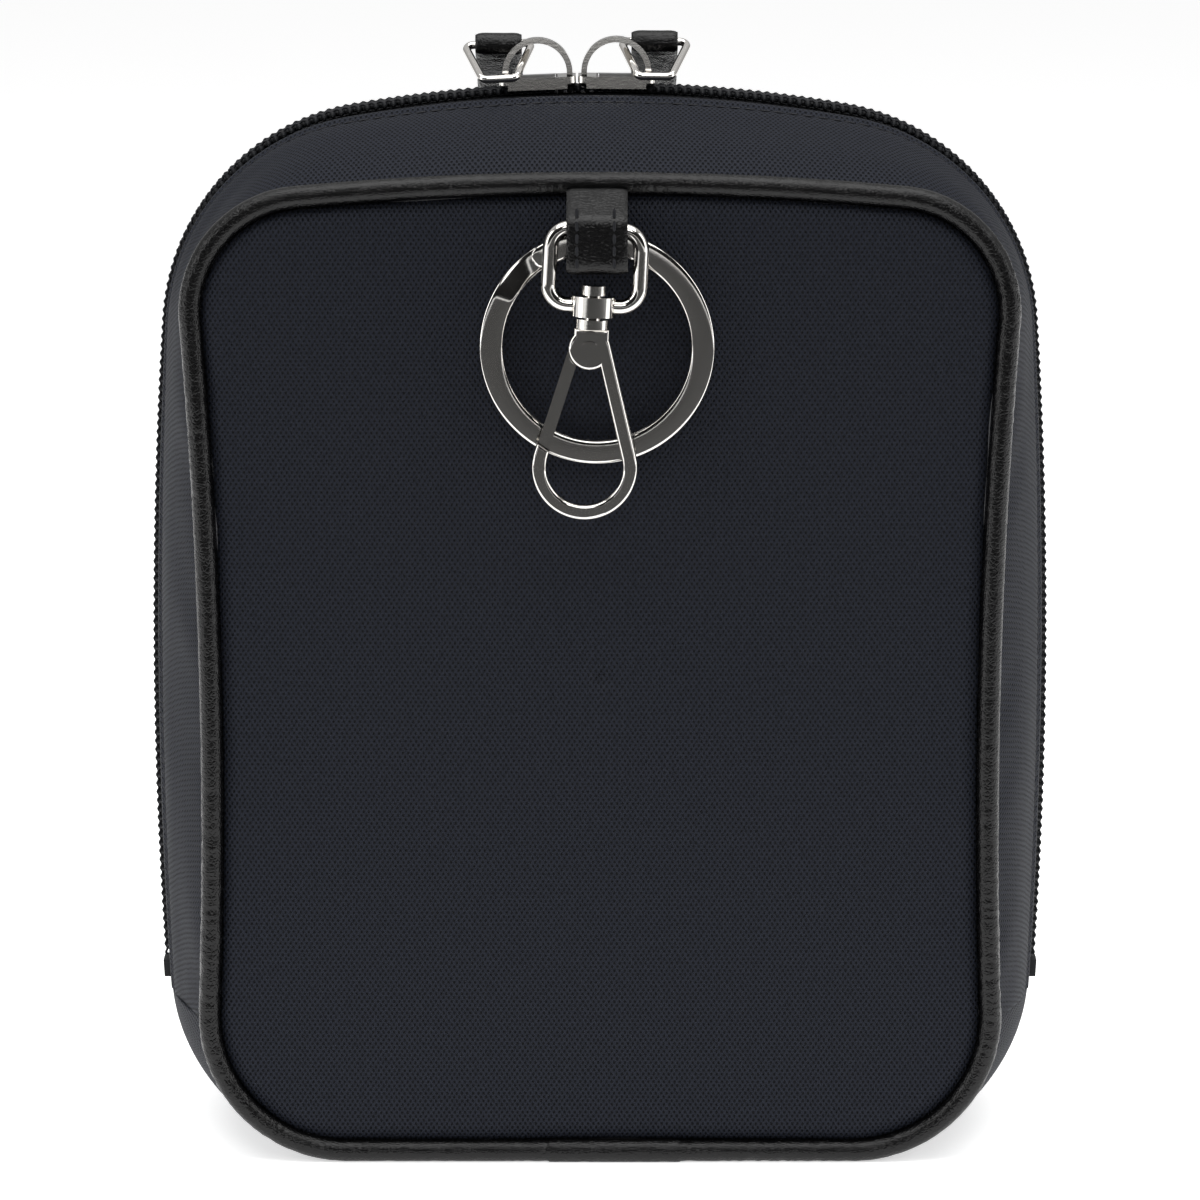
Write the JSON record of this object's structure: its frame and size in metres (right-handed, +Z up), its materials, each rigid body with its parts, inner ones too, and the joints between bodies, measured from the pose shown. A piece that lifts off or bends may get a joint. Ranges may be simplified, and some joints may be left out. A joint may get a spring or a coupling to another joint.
{
  "type": "hanging toiletry bag",
  "caption": "Zipped nylon toiletry bag with leather piping, a snap hook on a leather tab to hang it by, and a split ring.",
  "frame": {"origin": "on the surface that the bag stands on, under the middle of its base", "axes": "X is the width, -Y is the side with the hook, +Z is up"},
  "size_m": [0.159, 0.0831, 0.1948],
  "materials": {
    "nylon": "plain-woven coarse nylon, satin",
    "lining": "plain lining cloth",
    "foam": "soft sheet foam",
    "board": "stiffener board",
    "leather": "grained, semi-gloss, wrinkled along the piping",
    "cord": "twisted filler cord",
    "tape": "woven zip tape",
    "coil": "nylon coil teeth",
    "binding": "woven binding tape",
    "nickel": "polished nickel plate",
    "steel": "plain spring steel"
  },
  "bodies": {
    "front_half": {"front_panel": "nylon", "front_foam": "foam", "front_lining": "lining", "front_piping": "leather", "front_piping_cord": "cord", "front_seam_binding": "binding", "front_gusset": "nylon", "front_gusset_lining": "lining", "front_zip_tape": "tape", "front_zip_coil": "coil", "base_gusset": "nylon", "base_lining": "lining", "base_board": "board", "zip_stops": "coil", "hook_tab": "leather"},
    "rear_half": {"rear_panel": "nylon", "rear_foam": "foam", "rear_lining": "lining", "rear_piping": "leather", "rear_piping_cord": "cord", "rear_seam_binding": "binding", "rear_gusset": "nylon", "rear_gusset_lining": "lining", "rear_zip_tape": "tape", "rear_zip_coil": "coil"},
    "hook_loop": {"hook_loop": "nickel"},
    "snap_hook": {"hook_body": "nickel", "gate_rivet": "nickel", "gate_spring": "steel"},
    "hook_gate": {"hook_gate": "nickel"},
    "split_ring": {"split_ring": "nickel"},
    "left_slider": {"left_slider": "nickel", "left_lock_spring": "steel"},
    "left_link": {"left_pull_link": "nickel"},
    "left_pull": {"left_leather_pull": "leather"},
    "right_slider": {"right_slider": "nickel", "right_lock_spring": "steel"},
    "right_link": {"right_pull_link": "nickel"},
    "right_pull": {"right_leather_pull": "leather"}
  },
  "joints": [
    {"name": "rear_fold", "type": "hinge", "parent": "front_half", "child": "rear_half", "pos_m": [0, 0.0341, 0.0019], "axis": [-1, 0, 0], "range_deg": [0, 90], "deforming": ["rear_zip_coil", "rear_zip_tape"]},
    {"name": "hook_swing", "type": "hinge", "parent": "front_half", "child": "hook_loop", "pos_m": [-0.0005, -0.0433, 0.1649], "axis": [-0.9986, 0, 0.0523], "range_deg": [0, 110]},
    {"name": "hook_swivel", "type": "hinge", "parent": "hook_loop", "child": "snap_hook", "pos_m": [-0.00176, -0.0433, 0.14464], "axis": [0.0523, 0, 0.9986], "range_deg": [-15, 15]},
    {"name": "gate_open", "type": "hinge", "parent": "snap_hook", "child": "hook_gate", "pos_m": [-0.00176, -0.0433, 0.14464], "axis": [0, -1, 0], "range_deg": [0, 25], "stiffness_Nm_per_rad": 0.01, "springref_deg": -20.05},
    {"name": "ring_turn", "type": "hinge", "parent": "front_half", "child": "split_ring", "pos_m": [-0.0005, -0.03775, 0.1442], "axis": [0, 1, 0], "continuous": true},
    {"name": "left_slider_travel", "type": "hinge", "parent": "front_half", "child": "left_slider", "pos_m": [0, 0, -0.065], "axis": [0, -1, 0], "range_deg": [0, 5.4]},
    {"name": "left_link_lift", "type": "hinge", "parent": "left_slider", "child": "left_link", "pos_m": [-0.01309, 0, 0.19027], "axis": [0.2685, 0.8114, 0.5192], "range_deg": [0, 22]},
    {"name": "left_pull_lift", "type": "hinge", "parent": "left_link", "child": "left_pull", "pos_m": [-0.01785, 0.00373, 0.1924], "axis": [1, 0, 0], "range_deg": [0, 110]},
    {"name": "right_slider_travel", "type": "hinge", "parent": "front_half", "child": "right_slider", "pos_m": [0, 0, -0.065], "axis": [0, 1, 0], "range_deg": [0, 7.2]},
    {"name": "right_link_lift", "type": "hinge", "parent": "right_slider", "child": "right_link", "pos_m": [0.00491, 0, 0.19056], "axis": [0.285, -0.8114, -0.5103], "range_deg": [0, 22]},
    {"name": "right_pull_lift", "type": "hinge", "parent": "right_link", "child": "right_pull", "pos_m": [0.0096, 0.00373, 0.19284], "axis": [1, 0, 0], "range_deg": [0, 110]}
  ]
}
